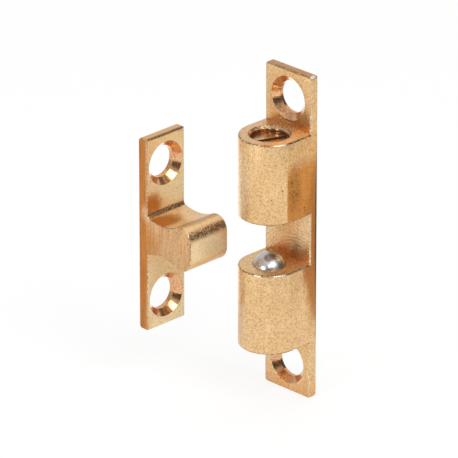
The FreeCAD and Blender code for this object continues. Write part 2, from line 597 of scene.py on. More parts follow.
class StraightMarks(Effect):
    """Lines that a saw or a drawing die leaves along the Z of the coordinates."""

    takes = {"Spacing": 0.15}

    def wire(self) -> dict[str, Socket]:
        """Stretch a fine noise along the lines."""
        stretched = self.vector("MULTIPLY", self.at, (1.0, 1.0, 1.0 / 25.0))
        marks = self.noise(stretched, self.density("Spacing"), 3.0, 0.65)
        return {"Height": self.scaled(marks, 0.38, 0.64)}


class EdgeWearAndGlint(Effect):
    """Edges that handling has rounded and rubbed bright, with painted glints along them and a dark
    line of painted shade on the edge itself.
    """

    takes = {"Radius": 0.08}

    def wire(self) -> dict[str, Socket]:
        """Compare the surface with a rounded copy of it, unevenly along the edge."""
        radius = self.times(self.given["Radius"], MM)
        rounded = self.add("Bevel", {"Radius": radius}, samples=6).outputs[0]
        surface = self.add("NewGeometry").outputs["Normal"]
        edge = self.scaled(self.vector("DOT_PRODUCT", rounded, surface), 0.998, 0.965)
        patches = self.scaled(self.noise(self.at, 1900.0, 3.0), 0.50, 0.62)
        # The first output is real edge wear together with painted glints. The second is a dark
        # line of painted shade along every edge.
        return {"WearAndGlint": self.times(edge, patches), "RimShade": edge, "Normal": rounded}


class Tarnish(Effect):
    """Soft clouds where the metal has darkened."""

    takes = {"Size": 6.0}

    def wire(self) -> dict[str, Socket]:
        """Give soft patches broken up by a finer noise."""
        density = self.density("Size")
        broad = self.noise(self.at, density, 3.0)
        fine = self.noise(self.at, self.times(density, 9.0), 3.0, 0.6)
        mixed = self.sum_of(fine, 0.35, self.times(broad, 0.65))
        return {"Cloud": self.scaled(mixed, 0.38, 0.64)}


class Recess(Effect):
    """Corners and hollows, found by how much metal stands round each point."""

    takes = {"Reach": 5.0}

    def wire(self) -> dict[str, Socket]:
        """See how much metal stands round each point, and break that up a little."""
        reach = self.times(self.given["Reach"], MM)
        shut = self.add("AmbientOcclusion", {"Distance": reach}, samples=6).outputs["AO"]
        uneven = self.noise(self.at, 500.0, 3.0, 0.6)
        level = self.math("ADD", shut, self.sum_of(uneven, 0.3, -0.15))
        return {"Mask": self.scaled(level, 0.92, 0.35)}


class SoftPatch(Effect):
    """One soft patch round the origin of the coordinates, one unit in radius."""

    takes = {"Edge": 0.3}

    def wire(self) -> dict[str, Socket]:
        """Fade the patch out over its edge, which a noise makes uneven."""
        uneven = self.sum_of(self.noise(self.at, 2.6, 9.0, 0.76), 0.9, -0.45)
        away = self.math("ADD", self.vector("LENGTH", self.at), uneven)
        start = self.math("SUBTRACT", 1.0, self.given["Edge"])
        return {"Mask": self.scaled(away, start, 1.0, 1.0, 0.0)}


# Named tones. The dark skin tone is dirt on small spots and painted shade on the housing rims. The
# brown and burnt tones are painted shade along broken edges. The bare and glint tones are painted
# highlights. The rosy tone is freshly turned brass.
DARK_SKIN_AND_SHADE: Triple = (0.09, 0.045, 0.022)
DARK_EDGE_SHADE: Triple = (0.26, 0.13, 0.06)
WARM_EDGE_SHADE: Triple = (0.42, 0.22, 0.10)
ROSY: Triple = (0.88, 0.50, 0.27)
SPECKLED_GLINT: Triple = (1.0, 0.74, 0.45)
PAINTED_GLINT: Triple = (1.0, 0.92, 0.82)


@dataclass(frozen=True)
class Patch:
    """A patch on a piece or in the floor's glow, standing for a stain, painted shade, a painted
    highlight or a painted reflection: its place and reach in millimetres, and its colour.
    """

    middle: Triple
    reach: Triple
    share: float = 0.6
    edge: float = 0.3
    tone: Triple = DARK_SKIN_AND_SHADE
    grit: float = 0.0

    def mask(self, graph: Graph, at: Socket) -> Socket:
        """Add the patch's nodes.

        Args:
            graph: The material's node tree.
            at: The piece's coordinates.

        Returns:
            How strongly the patch covers each point, broken up by its grit.
        """
        inputs = {"Vector": at, "Location": mm(*self.middle), "Scale": mm(*self.reach)}
        placed = graph.add("Mapping", inputs, vector_type="TEXTURE").outputs[0]
        cover = graph.times(SoftPatch.put(graph, placed, Edge=self.edge)["Mask"], self.share)
        if not self.grit:
            return cover
        specks = TumbledGrain.put(graph, at, Size=0.21)["Mottle"]
        broken = graph.sum_of(specks, 2.2 * self.grit, 1 - self.grit)
        return graph.math("MINIMUM", graph.times(cover, broken), 1.0)

    def over(self, graph: Graph, at: Socket, colour: Amount) -> Socket:
        """Return a colour with the patch laid over it."""
        return graph.blend(self.mask(graph, at), colour, self.tone)


class ToolMark(Enum):
    """What last cut or formed a surface."""

    NONE = "none"
    RINGS = "rings"
    LINES = "lines"


@dataclass(frozen=True)
class BrassFinish:
    """One of the brass surfaces, from drawn and tumbled to freshly turned."""

    name: str
    colour: Triple = (0.97, 0.66, 0.34)
    deep: Triple = (0.84, 0.52, 0.22)
    dark: Triple = (0.22, 0.11, 0.045)
    bright: Triple = (0.95, 0.78, 0.52)
    roughness: float = 0.30
    grain: float = 1.0
    pits: float = 0.3
    scratches: float = 0.3
    tarnish: float = 0.35
    mark: ToolMark = ToolMark.NONE
    mark_at: Triple = (0.0, 0.0, 0.0)
    mark_turn: Triple = (0.0, 0.0, 0.0)
    mark_spacing: float = 0.2
    mark_depth: float = 0.5
    mark_tone: float = 0.0
    edge_radius: float = 0.14
    # Bright edge wear with painted glints, and a dark line of painted shade, along the edges.
    wear_and_glint: float = 0.9
    rim: float = 0.6
    mottle: float = 0.42
    shade: Triple = (0.38, 0.17, 0.05)
    metallic: float = 0.9
    hollow_tone: Triple = (0.78, 0.33, 0.085)
    recess: float = 0.7
    # Real stains and patches of painted shade, highlight and reflection, laid on in turn. Dulled
    # patches make the metal less metallic.
    stains_and_painted_light: tuple[Patch, ...] = ()
    dulled: tuple[Patch, ...] = ()

    def tool_marks(self, graph: Graph, at: Socket) -> Socket | None:
        """Add the marks of the tool, if it left any.

        Args:
            graph: The material's node tree.
            at: The piece's coordinates.

        Returns:
            Their height, or None.
        """
        if self.mark is ToolMark.NONE:
            return None
        rotation = [math.radians(turn) for turn in self.mark_turn]
        inputs = {"Vector": at, "Location": mm(*self.mark_at), "Rotation": rotation}
        placed = graph.add("Mapping", inputs, vector_type="TEXTURE").outputs[0]
        effect = RingMarks if self.mark is ToolMark.RINGS else StraightMarks
        return effect.put(graph, placed, Spacing=self.mark_spacing)["Height"]

    @cache
    def material(self) -> bpy.types.Material:
        """Return the material, made when it is first asked for."""
        made = bpy.data.materials.new(self.name)
        graph = Graph.emptied(made)
        at = graph.place()
        grain = TumbledGrain.put(graph, at)
        large = Pits.put(graph, at, Share=self.pits)["Pit"]
        small = Pits.put(graph, at, Spacing=0.36, Share=self.pits, Width=0.09)["Pit"]
        pits = graph.math("MAXIMUM", large, small)
        lines = Scratches.put(graph, at, Share=self.scratches)["Line"]
        edge = EdgeWearAndGlint.put(graph, at, Radius=self.edge_radius)
        marks = self.tool_marks(graph, at)
        clouds = graph.times(Tarnish.put(graph, at)["Cloud"], self.tarnish)
        colour = graph.blend(clouds, self.colour, self.deep)
        # The finish turns darker and more orange in corners and hollows.
        hollow = graph.times(Recess.put(graph, at)["Mask"], self.recess)
        colour = graph.blend(hollow, colour, self.hollow_tone)
        for patch in self.stains_and_painted_light:
            colour = patch.over(graph, at, colour)
        height = graph.times(grain["Height"], self.grain)
        height = graph.sum_of(lines, -0.5, graph.sum_of(pits, -1.6, height))
        layers = [(grain["Mottle"], self.mottle, self.shade)]
        layers += [(pits, 0.9, self.dark), (lines, 0.35, self.deep)]
        if marks:
            height = graph.sum_of(marks, self.mark_depth, height)
            layers.append((marks, self.mark_tone, self.dark))
        # Along the edges: a dark line of painted shade, and bright wear with painted glints.
        layers += [(edge["RimShade"], self.rim, self.dark), (edge["WearAndGlint"], self.wear_and_glint, self.bright)]
        for mask, share, tone in layers:
            colour = graph.blend(graph.times(mask, share), colour, tone)
        spread = graph.scaled(grain["Cloud"], 0.3, 0.7, -0.05, 0.07)
        roughness = graph.sum_of(pits, 0.3, graph.math("ADD", spread, self.roughness))
        metallic: Amount = self.metallic
        for patch in self.dulled:
            metallic = graph.math("SUBTRACT", metallic, patch.mask(graph, at))
        relief = {"Height": height, "Normal": edge["Normal"], "Distance": 0.012 * MM}
        graph.metal(relief, Base_Color=colour, Metallic=metallic, Roughness=roughness)
        return made


@dataclass(frozen=True)
class SteelFinish:
    """Bright steel of the balls, or the darker drawn steel of the springs."""

    name: str
    colour: Triple = (0.62, 0.61, 0.60)
    dull: Triple = (0.36, 0.35, 0.34)
    roughness: float = 0.25
    haze: float = 0.16

    def material(self) -> bpy.types.Material:
        """Return the material, polished with fine hairlines and a light haze."""
        made = bpy.data.materials.new(self.name)
        graph = Graph.emptied(made)
        at = graph.place()
        lines = Scratches.put(graph, at, Length=1.5, Share=0.42)["Line"]
        specks = Pits.put(graph, at, Spacing=0.5, Share=0.2, Width=0.06)["Pit"]
        haze = Tarnish.put(graph, at, Size=1.6)["Cloud"]
        colour: Amount = self.colour
        for mask, share in ((haze, 0.35), (specks, 0.6)):
            colour = graph.blend(graph.times(mask, share), colour, self.dull)
        height = graph.sum_of(lines, -0.4, graph.times(specks, -1.0))
        relief = {"Height": height, "Distance": 0.004 * MM}
        roughness = graph.sum_of(haze, self.haze, self.roughness)
        graph.metal(relief, Base_Color=colour, Metallic=1.0, Roughness=roughness)
        return made


TUMBLED = BrassFinish(
    "tumbled_brass",
    mark=ToolMark.LINES,
    mark_spacing=0.9,
    mark_tone=0.07,
    stains_and_painted_light=(
        # A pale patch on the upper housing's left side: painted reflection, with the metal dulled
        # under it.
        Patch((-1.8, -9.2, 8.0), (2.9, 2.2, 8.4), 0.9, 0.6, (1.0, 0.78, 0.47)),
        Patch((-2.2, -9.1, -10.0), (3.0, 2.4, 9.0), 0.6, 0.8, (0.76, 0.53, 0.30)),
        Patch((0.0, -1.4, 21.0), (6.0, 1.0, 5.0), 0.35, 0.4, (0.80, 0.47, 0.21)),
        Patch((0.0, -0.7, 25.1), (9.0, 2.0, 0.5), 0.85, 0.3, (0.60, 0.28, 0.10)),
        Patch((1.0, -1.4, 16.8), (6.0, 1.0, 2.2), 0.6, 0.6, (0.74, 0.30, 0.06)),
        # A painted glint on the flange's top right corner, and a painted highlight along its right
        # front edge just above the housing.
        Patch((4.5, -0.9, 25.0), (0.5, 0.7, 0.5), 1.0, 0.4, PAINTED_GLINT),
        Patch((4.45, -1.35, 17.3), (0.3, 0.3, 2.2), 1.0, 0.3, (1.0, 0.90, 0.74), 0.4),
        Patch((4.19, -6.74, 9.15), (0.15, 0.15, 0.15), 1.0, 0.5),
    ),
    dulled=(
        # The metal is dulled under the pale patch of painted reflection and under the corner's
        # painted glint.
        Patch((-1.8, -9.2, 8.0), (2.9, 2.2, 8.0), 0.65, 0.7),
        Patch((4.5, -0.9, 25.0), (0.5, 0.7, 0.5), 0.8, 0.4),
    ),
)
FLANK = replace(
    TUMBLED,
    name="flank_brass",
    stains_and_painted_light=(
        Patch((4.5, -1.0, 7.2), (3.0, 14.0, 7.6), 0.9, 0.55, (0.74, 0.28, 0.04)),
        Patch((4.5, -1.0, 14.8), (3.0, 8.0, 2.6), 0.4, 0.8, (0.85, 0.42, 0.12)),
        # A gritty dark band on the right side of the upper housing: painted shadow.
        Patch((4.5, -4.7, 9.0), (2.0, 2.0, 5.4), 0.5, 0.8, (0.24, 0.10, 0.02), 0.8),
        Patch((4.5, 0.3, -1.0), (0.7, 3.6, 15.0), 0.95, 0.35, (0.56, 0.21, 0.045)),
        # A dark line along the rear edge of the right side: painted shade.
        Patch((4.5, 0.1, 1.0), (1.0, 0.62, 18.0), 0.95, 0.2, (0.10, 0.038, 0.025)),
        Patch((4.5, -2.5, 5.0), (0.16, 0.16, 0.16), 1.0, 0.4),
        Patch((4.5, -2.65, 5.45), (0.16, 0.16, 0.16), 1.0, 0.4),
    ),
    dulled=(),
)
CAPPED = BrassFinish(
    "capped_brass",
    colour=(0.90, 0.58, 0.31),
    recess=0.3,
    stains_and_painted_light=(Patch((5.0, -5.5, 16.25), (5.0, 9.0, 2.0), 0.8, 0.5, (1.0, 0.44, 0.11)),),
    dulled=(Patch((5.0, -4.5, 16.25), (5.4, 9.0, 2.0), 0.75, 0.6),),
)
MILLED = BrassFinish(
    "milled_brass",
    mark=ToolMark.RINGS,
    mark_at=(14.0, -22.0, 0.0),
    mark_spacing=0.35,
    mark_depth=1.2,
    mark_tone=0.12,
    recess=0.65,
    stains_and_painted_light=(
        Patch((5.2, -4.0, -3.9), (5.4, 8.0, 1.2), 0.4, 0.5, (0.95, 0.38, 0.08)),
        # A dark patch under the upper housing: painted shade.
        Patch((0.0, -5.0, 4.2), (8.0, 8.0, 1.5), 0.8, 0.3, (0.25, 0.12, 0.05)),
    ),
    dulled=(Patch((5.2, -4.0, -3.9), (5.4, 8.0, 1.2), 0.25, 0.6),),
)
SWEPT = BrassFinish(
    "swept_brass",
    colour=(1.0, 0.74, 0.44),
    mark=ToolMark.RINGS,
    mark_at=(2.0, 0.0, -7.0),
    mark_turn=(90.0, 0.0, 0.0),
    mark_spacing=0.5,
    mark_depth=1.4,
    mark_tone=0.22,
    recess=0.35,
    stains_and_painted_light=(
        Patch((1.0, -1.4, -3.6), (6.5, 1.0, 2.2), 0.6, 0.7, (0.60, 0.22, 0.04)),
        Patch((3.2, -1.4, -2.2), (2.2, 0.6, 1.6), 0.5, 0.8, (0.25, 0.10, 0.035)),
    ),
)
# Broken edges round the plate's front: a dark line of painted shade with speckled painted glints,
# and on the right side a painted highlight.
EDGE = BrassFinish("edge_painted_shade", colour=WARM_EDGE_SHADE, deep=DARK_EDGE_SHADE, mottle=0.4, shade=SPECKLED_GLINT)
EDGE_HIGHLIGHT = BrassFinish(
    "rubbed_brass", colour=(1.0, 0.80, 0.52), mottle=0.5, grain=1.2, recess=0.2
)
# A dark line along the right rear broken edge: painted shade.
REAR_EDGE_SHADE = BrassFinish(
    "rear_edge_painted_shade",
    stains_and_painted_light=(Patch((4.5, 0.0, 1.0), (1.0, 2.0, 18.0), 0.95, 0.3, (0.10, 0.04, 0.025)),),
)
TURNED_STRIKE = BrassFinish(
    "turned_strike_brass",
    colour=ROSY,
    roughness=0.13,
    grain=0.15,
    pits=0.05,
    scratches=0.1,
    tarnish=0.15,
    edge_radius=0.05,
)
TURNED = replace(
    TURNED_STRIKE,
    name="turned_brass",
    mark=ToolMark.RINGS,
    mark_turn=(90.0, 0.0, 0.0),
    mark_depth=0.35,
    stains_and_painted_light=(
        # A bright gold spot and a dark gritty one in the upper countersink: painted reflections.
        Patch((-2.75, -0.95, 21.3), (0.6, 0.6, 0.5), 0.9, 0.5, (1.0, 0.72, 0.30)),
        Patch((-1.6, -1.0, 18.4), (1.0, 0.7, 0.6), 0.8, 0.5, (0.34, 0.17, 0.09), 0.7),
    ),
)
THREADED = BrassFinish(
    "threaded_brass",
    colour=(0.58, 0.38, 0.24),
    hollow_tone=(0.40, 0.22, 0.12),
    roughness=0.12,
    grain=0.2,
    pits=0.1,
    scratches=0.1,
    edge_radius=0.03,
)
SCREW = BrassFinish(
    "screw_brass",
    colour=(0.80, 0.50, 0.27),
    hollow_tone=(0.55, 0.30, 0.14),
    roughness=0.18,
    grain=0.3,
    pits=0.15,
    scratches=0.2,
    mark=ToolMark.RINGS,
    mark_at=(0.0, -5.1, 0.0),
    mark_spacing=0.12,
    mark_depth=0.4,
    edge_radius=0.04,
)
# Broken edges of the strike's sawn sides and the housings' front rims: a dark line of painted
# shade with speckled painted glints.
STRIKE_EDGE_SHADE_AND_GLINTS = BrassFinish(
    "strike_edge_painted_shade_and_glints", colour=WARM_EDGE_SHADE, mottle=0.9, shade=SPECKLED_GLINT, grain=2.5
)
RIM_SHADE_AND_GLINTS = replace(
    STRIKE_EDGE_SHADE_AND_GLINTS,
    name="burred_brass",
    colour=DARK_EDGE_SHADE,
    deep=DARK_SKIN_AND_SHADE,
    stains_and_painted_light=(
        # Painted glints on the front of both housings' rims.
        Patch((4.0, -7.1, 16.2), (0.8, 1.5, 0.5), 0.9, 0.5, PAINTED_GLINT, 0.4),
        Patch((4.0, -7.1, -4.0), (0.8, 1.5, 0.5), 0.9, 0.5, PAINTED_GLINT, 0.4),
        Patch((1.7, -9.2, -4.0), (0.8, 0.5, 0.5), 0.8, 0.5, (1.0, 0.90, 0.78), 0.6),
    ),
)
DRAWN = BrassFinish(
    "drawn_brass",
    roughness=0.36,
    pits=0.25,
    scratches=0.35,
    metallic=0.5,
    mottle=0.2,
    recess=0.3,
    stains_and_painted_light=(
        # Pale patches on the plate's front and on the nose's end: painted reflections.
        Patch((-12.8, -12.4, 9.5), (0.6, 5.2, 7.5), 0.95, 0.5, (1.0, 0.83, 0.50)),
        Patch((-12.8, -12.8, -8.8), (0.6, 5.8, 8.6), 1.0, 0.4, (1.0, 0.84, 0.53)),
        Patch((-4.1, -13.2, -0.2), (0.5, 5.4, 2.4), 0.9, 0.4, (1.0, 0.77, 0.45)),
        Patch((-12.8, -11.4, 5.6), (0.6, 3.6, 2.6), 0.9, 0.6, (1.0, 0.87, 0.54)),
        # Orange patches round the tongue's root: painted reflection of the tongue.
        Patch((-12.7, -16.0, 4.6), (1.6, 3.0, 2.4), 0.95, 0.7, (0.52, 0.17, 0.015)),
        Patch((-10.9, -15.9, 2.4), (2.2, 4.4, 1.5), 0.95, 0.5, (0.50, 0.16, 0.015)),
        # A brown band over the tongue's crest: painted dark reflection.
        Patch((-6.8, -12.5, 3.4), (1.6, 9.0, 0.6), 0.8, 0.6, (0.50, 0.24, 0.08)),
        Patch((-13.7, -13.15, 14.85), (2.0, 8.0, 0.4), 0.6, 0.3, (0.66, 0.32, 0.10)),
    ),
)
SAWN = BrassFinish(
    "sawn_brass",
    colour=(0.88, 0.53, 0.265),
    dark=(0.30, 0.13, 0.045),
    roughness=0.38,
    mottle=0.3,
    mark=ToolMark.LINES,
    mark_depth=2.0,
    mark_tone=0.42,
    stains_and_painted_light=(
        Patch((-14.8, -16.85, 0.0), (2.2, 4.0, 40.0), 0.95, 0.3, (0.66, 0.22, 0.03)),
        Patch((-12.2, -16.85, -1.6), (3.0, 4.0, 4.2), 0.8, 0.8, (0.74, 0.31, 0.07)),
        Patch((-13.2, -16.85, 3.4), (1.3, 4.0, 1.8), 0.6, 0.8, (1.0, 0.74, 0.50)),
    ),
)


@dataclass(frozen=True)
class Countersink:
    """A countersunk screw hole, the same in every plate."""

    hole_radius: float = 2.4
    rim_radius: float = 3.3
    angle: float = 90.0

    def cut(self, piece: Workpiece, plate: float, centre: Vector, axis: Axis) -> None:
        """Cut one hole.

        Args:
            piece: What is cut.
            plate: Thickness of its plate, in millimetres.
            centre: Middle of the hole on the plate's back face.
            axis: Direction from the back face to the front.
        """
        slope = math.tan(math.radians(self.angle / 2))
        depth = (self.rim_radius - self.hole_radius) / slope
        profile = [
            (0, -OVERRUN),
            (self.hole_radius, -OVERRUN),
            (self.hole_radius, plate - depth),
            (self.rim_radius, plate),
            (self.rim_radius, plate + OVERRUN),
            (0, plate + OVERRUN),
        ]
        piece.combine(Workpiece.turned("countersink", profile, centre, axis), Combine.CUT)


@dataclass(frozen=True)
class Thread:
    """The fine thread that the adjusting screws and their bores share."""

    radius: float = 3.0
    pitch: float = 0.75
    root_gap: float = 0.26
    crest: float = 0.16
    play: float = 0.02
    half_angle: float = 30.0
    first_turn: float = 9.2
    steps: int = 64

    def ridge(self, radius: float, inner: float, crest: float, turns: range) -> Workpiece:
        """Wind one ridge of the thread up a right-hand helix about Z.

        Args:
            radius: Radius of its crest.
            inner: Radius of its buried foot.
            crest: Width of its crest.
            turns: The turns that it takes, counted from the first.

        Returns:
            The ridge.
        """
        flank = (radius - inner) * math.tan(math.radians(self.half_angle))
        foot, tip = crest / 2 + flank, crest / 2
        section = [(inner, -foot), (radius, -tip), (radius, tip), (inner, foot)]
        ridge = Workpiece.drawn("thread", [mm(reach, 0, height) for reach, height in section])
        ridge.pick(Element.POINT, lambda point: len(point.link_edges) == 1)
        bpy.ops.mesh.edge_face_add()
        ridge.put_down()
        winding = ridge.shape.modifiers.new("winding", "SCREW")
        winding.angle = FULL_TURN
        winding.screw_offset = self.pitch * MM
        winding.iterations = len(turns)
        winding.steps = winding.render_steps = self.steps
        ridge.apply(winding)
        ridge.pick(Element.POINT)
        bpy.ops.mesh.fill_holes(sides=0)
        ridge.move(mm(0, 0, self.first_turn + turns.start * self.pitch))
        ridge.mend()
        return ridge


@dataclass
class CatchBody:
    """Brass plate with two bored half-round housings, in one piece."""

    length: float = 50.0
    width: float = 9.0
    plate_depth: float = 1.4
    bore_setback: float = 5.1
    gap: float = 7.8
    housing_height: float = 12.35
    corner_radius: float = 0.4
    edge_break: float = 0.2
    hole_margin: float = 4.4
    ball_bore_radius: float = 2.6
    mouth_radius: float = 2.42
    mouth_land: float = 0.1
    seat_angle: float = 59.0
    thread_depth: float = 7.2
    thread_foot: float = 0.12
    mouth_chamfer: float = 0.12
    sides: int = 128
    thread: Thread = Thread()
    countersink: Countersink = Countersink()

    @property
    def housing_end(self) -> float:
        """Height of the housing's outer end."""
        return self.gap / 2 + self.housing_height

    @property
    def hole_height(self) -> float:
        """Height of the upper screw hole."""
        return self.length / 2 - self.hole_margin

    def plate(self) -> Workpiece:
        """Return the plate with rounded corners and broken edges."""
        low = mm(-self.width / 2, -self.plate_depth, -self.length / 2)
        high = mm(self.width / 2, 0, self.length / 2)
        plate = Workpiece.block("catch_body_brass", low, high)
        plate.bevel(lambda edge: span(edge, 1) > self.plate_depth / 2, self.corner_radius, 6)
        plate.bevel(lambda edge: span(edge, 1) < CLOSE, self.edge_break, 2)
        return plate

    def housing(self) -> Workpiece:
        """Return the upper housing: a rod whose back half is drawn out flat."""
        foot = mm(0, -self.bore_setback, self.gap / 2)
        height, back = self.housing_height, -self.plate_depth / 2
        block = Workpiece.rod("upper_housing", self.width / 2, foot, height, self.sides)
        block.pick(Element.FACE)
        bpy.ops.mesh.bisect(plane_co=foot, plane_no=(0, 1, 0), clear_outer=True)
        block.pick(Element.EDGE, lambda edge: edge.is_boundary)
        reach = mm(0, self.bore_setback + back, 0)
        bpy.ops.mesh.extrude_region_move(TRANSFORM_OT_translate={"value": reach})
        bpy.ops.mesh.edge_face_add()
        block.mend()

        def rim(edge: bmesh.types.BMEdge) -> bool:
            """Say whether an edge runs round an end of the housing, outside the plate."""
            buried = all(abs(point.co.y / MM - back) < CLOSE for point in edge.verts)
            sharp = edge.is_boundary or edge.calc_face_angle(0) >= SHARP
            return span(edge, 2) < CLOSE and not buried and sharp

        block.bevel(rim, self.edge_break, segments=3)
        return block

    def bore_cutter(self) -> Workpiece:
        """Return the upper bore as a tool, with the thread that it cuts."""
        thread, end = self.thread, self.housing_end
        seat = self.gap / 2 + self.mouth_land
        seat_slope = math.tan(math.radians(self.seat_angle))
        seat_top = seat + (self.ball_bore_radius - self.mouth_radius) / seat_slope
        minor = thread.radius - thread.root_gap + thread.play
        profile = [
            (0, self.gap / 2 - OVERRUN),
            (self.mouth_radius, self.gap / 2 - OVERRUN),
            (self.mouth_radius, seat),
            (self.ball_bore_radius, seat_top),
            (self.ball_bore_radius, end - self.thread_depth),
            (minor, end - self.thread_depth),
            (minor, end - self.mouth_chamfer - thread.radius + minor),
            (thread.radius + self.mouth_chamfer + OVERRUN, end + OVERRUN),
            (0, end + OVERRUN),
        ]
        cutter = Workpiece.turned("upper_bore", profile, Vector(), Axis.Z, thread.steps)
        major, foot = thread.radius + thread.play, minor - self.thread_foot
        cutter.combine(thread.ridge(major, foot, thread.crest, range(10)), Combine.ADD)
        cutter.move(mm(0, -self.bore_setback, 0))
        return cutter

    def build(self) -> Workpiece:
        """Return the whole body, joined and bored."""
        body = self.plate()
        for make, how in ((self.housing, Combine.ADD), (self.bore_cutter, Combine.CUT)):
            upper = make()
            body.combine(upper.turned_over(), how)
            body.combine(upper, how)
        for height in (-self.hole_height, self.hole_height):
            centre = mm(0, 0, height)
            self.countersink.cut(body, self.plate_depth, centre, Axis.BACK_TO_FRONT)
        body.mend()
        body.smooth()
        return body

    def places(self) -> list[tuple[BrassFinish, Callable[[Facet], bool]]]:
        """Return each finish with a test for its faces, where later ones lie over earlier."""
        front, middle, end = -self.plate_depth, self.gap / 2, self.housing_end
        right, bore = 0.47 * self.width, self.thread.radius + self.mouth_chamfer

        def spoke(face: Facet) -> Vector:
            """Return the way from the bores' axis to a face."""
            return Vector((face.x, face.y + self.bore_setback, 0))

        def ends_at(face: Facet, reach: float, *heights: float) -> bool:
            """Say whether a face is within reach of one of some heights."""
            return any(abs(face.height - height) < reach + NEAR for height in heights)

        def on_edge(face: Facet) -> bool:
            """Say whether a face is on the broken edge round the plate's front."""
            return front < face.y < front + self.edge_break and face.leans(1)

        return [
            (TUMBLED, lambda face: True),
            (FLANK, lambda face: face.normal.x > UPRIGHT and face.x > right),
            (CAPPED, lambda face: ends_at(face, 0, end) and face.looks_along(2)),
            (MILLED, lambda face: ends_at(face, 0, middle) and face.looks_along(2)),
            (SWEPT, lambda face: abs(face.y - front) < NEAR and face.height < middle),
            # Broken edges round the plate's front get a dark line of painted shade, and a painted
            # highlight on the right side below the upper flange. The right rear edge gets a dark
            # line of painted shade.
            (EDGE, on_edge),
            (EDGE_HIGHLIGHT, lambda face: on_edge(face) and face.x > right),
            (TUMBLED, lambda face: on_edge(face) and face.x > right and face.z > end),
            (REAR_EDGE_SHADE, lambda face: face.y > -self.edge_break and face.leans(1)),
            (
                TURNED,
                lambda face: front + CLOSE < face.y < -CLOSE
                and math.hypot(face.x, face.height - self.hole_height)
                < self.countersink.rim_radius,
            ),
            (
                THREADED,
                lambda face: spoke(face).length < bore
                and spoke(face).dot(face.normal) < 0.02
                and middle + CLOSE < face.height < end - CLOSE,
            ),
            # The housings' front rims: a dark line of painted shade with speckled painted glints.
            (
                RIM_SHADE_AND_GLINTS,
                lambda face: face.y < front
                and ends_at(face, self.edge_break, middle, end)
                and face.leans(2),
            ),
        ]

    def make(self) -> None:
        """Build, dress and mount the body."""
        body = self.build()
        for finish, wanted in self.places():
            body.dress(finish.material(), wanted)
        body.mount("catch_body", "body_brass")


